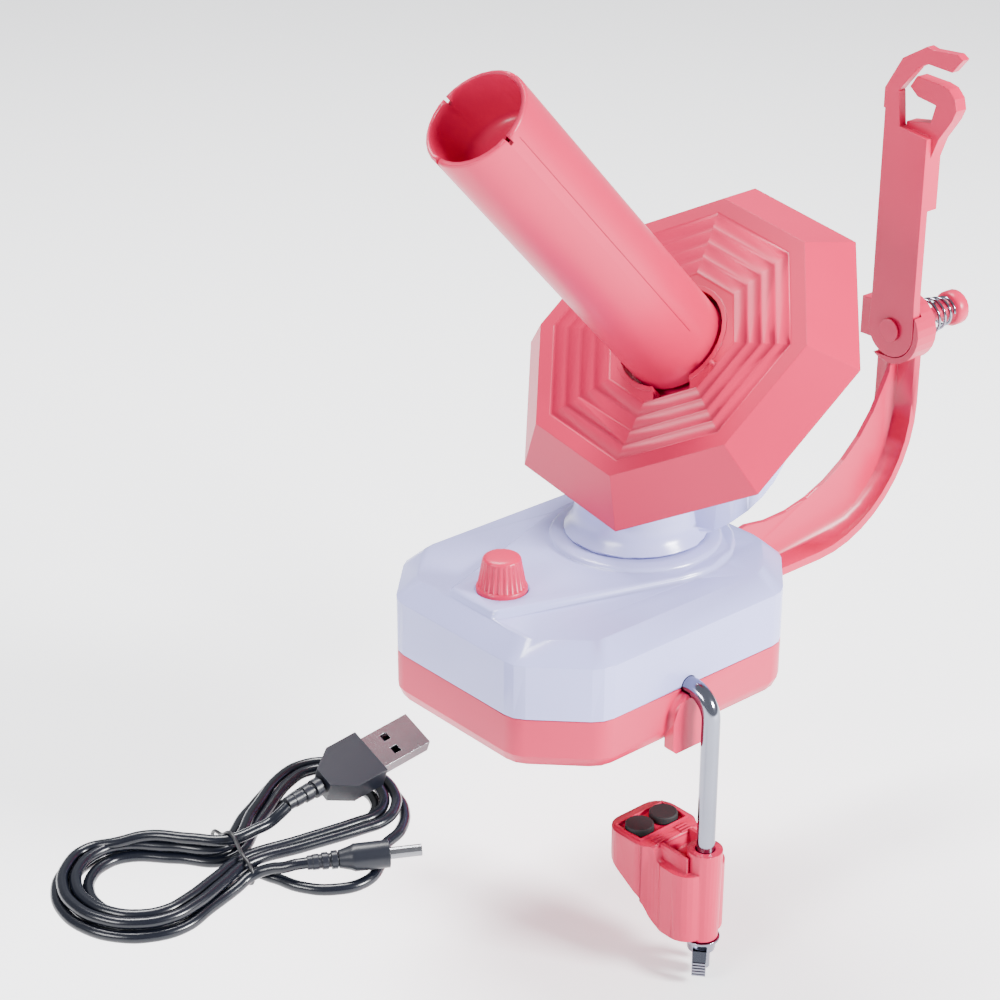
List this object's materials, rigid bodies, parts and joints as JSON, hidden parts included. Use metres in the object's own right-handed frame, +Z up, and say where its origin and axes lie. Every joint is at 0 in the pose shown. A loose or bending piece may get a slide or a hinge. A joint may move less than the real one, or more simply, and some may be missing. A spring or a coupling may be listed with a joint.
{
  "type": "ball winder",
  "caption": "Motor-driven yarn ball winder: pink and white case, tilted bobbin tube on a turning rotor, folding thread guide arm, table clamp and coiled power lead",
  "frame": {"origin": "Middle of the flat underside of the case, which rests on the table top", "axes": "+Z up, out of the table; +X along the case towards the guide arm; +Y towards the side away from the clamp"},
  "size_m": [0.3859, 0.1283, 0.2933],
  "materials": {
    "pink_plastic": "gloss",
    "white_plastic": "gloss",
    "gear_nylon": "satin",
    "steel": "satin",
    "chrome": "polished",
    "brass": "satin",
    "black_plastic": "satin",
    "black_rubber": "matte",
    "circuit_board": "satin"
  },
  "bodies": {
    "case": {"lower_case": "pink_plastic", "upper_case": "white_plastic", "case_screw_1": "steel", "case_screw_2": "steel", "case_screw_3": "steel", "case_screw_4": "steel", "centre_column": "gear_nylon", "column_screw": "steel", "fixed_bevel_gear": "gear_nylon", "column_cap_screw": "steel", "thrust_washer": "gear_nylon", "motor": "steel", "motor_plate": "steel", "idler_axle": "steel", "control_board": "circuit_board", "speed_control": "steel", "dc_jack": "black_plastic", "guide_arm_lower": "pink_plastic", "arm_screw_1": "steel", "arm_screw_2": "steel", "hinge_spring": "chrome", "clamp_rod": "chrome", "rod_retainer": "steel", "usb_plug_shell": "chrome", "usb_plug_body": "black_plastic", "dc_plug_barrel": "chrome", "dc_plug_body": "black_plastic", "cord_hank": "black_plastic", "cord_tie": "black_plastic", "cord_tail_usb": "black_plastic", "cord_tail_dc": "black_plastic"},
    "rotor": {"rotor_housing": "white_plastic", "rotor_gear": "gear_nylon", "rotor_bush": "brass", "spindle_axle": "steel", "spindle_cap": "steel"},
    "spindle": {"spindle_gear": "gear_nylon", "flange_plate": "pink_plastic"},
    "tube": {"bobbin_tube": "pink_plastic"},
    "idler": {"idler_gear": "gear_nylon"},
    "pinion": {"motor_pinion": "brass"},
    "knob": {"speed_knob": "pink_plastic", "speed_shaft": "brass"},
    "arm_pin": {"hinge_pin": "pink_plastic"},
    "arm": {"guide_arm_upper": "pink_plastic"},
    "jaw": {"clamp_jaw": "pink_plastic", "jaw_pad_1": "black_rubber", "jaw_pad_2": "black_rubber", "clamp_washer": "steel"},
    "nut": {"wing_nut": "chrome"}
  },
  "joints": [
    {"name": "rotor_turn", "type": "hinge", "parent": "case", "child": "rotor", "pos_m": [0.0193, 0, 0.0482], "axis": [0, 0, 1], "continuous": true},
    {"name": "spindle_turn", "type": "hinge", "parent": "rotor", "child": "spindle", "pos_m": [0.0315, 0, 0.1126], "axis": [-0.6794, 0, 0.7337], "continuous": true},
    {"name": "tube_lift", "type": "slide", "parent": "spindle", "child": "tube", "axis": [-0.6794, 0, 0.7337], "range_m": [0, 0.012]},
    {"name": "idler_turn", "type": "hinge", "parent": "case", "child": "idler", "pos_m": [-0.01151, 0.01437, 0.03], "axis": [0, 0, 1], "continuous": true},
    {"name": "pinion_turn", "type": "hinge", "parent": "case", "child": "pinion", "pos_m": [-0.0347, 0.02058, 0.036], "axis": [0, 0, 1], "continuous": true},
    {"name": "knob_turn", "type": "hinge", "parent": "case", "child": "knob", "pos_m": [-0.0386, 0, 0.05], "axis": [0, 0, 1], "range_deg": [-140, 140]},
    {"name": "pin_push", "type": "slide", "parent": "case", "child": "arm_pin", "axis": [-1, 0, 0], "range_m": [0, 0.004], "stiffness_N_per_m": 500, "springref_m": -0.002, "deforming": ["hinge_spring"]},
    {"name": "arm_fold", "type": "hinge", "parent": "arm_pin", "child": "arm", "pos_m": [0.1433, 0, 0.086], "axis": [-1, 0, 0], "range_deg": [0, 90]},
    {"name": "jaw_slide", "type": "slide", "parent": "case", "child": "jaw", "axis": [0, 0, 1], "range_m": [0, 0.034]},
    {"name": "nut_turn", "type": "hinge", "parent": "jaw", "child": "nut", "pos_m": [-0.003, -0.0587, -0.076], "axis": [0, 0, 1], "continuous": true}
  ],
  "couplings": [
    {"joint": "spindle_turn", "follows": "rotor_turn", "ratio": 0.62069},
    {"joint": "idler_turn", "follows": "rotor_turn", "ratio": -4.6667},
    {"joint": "pinion_turn", "follows": "rotor_turn", "ratio": 14}
  ]
}
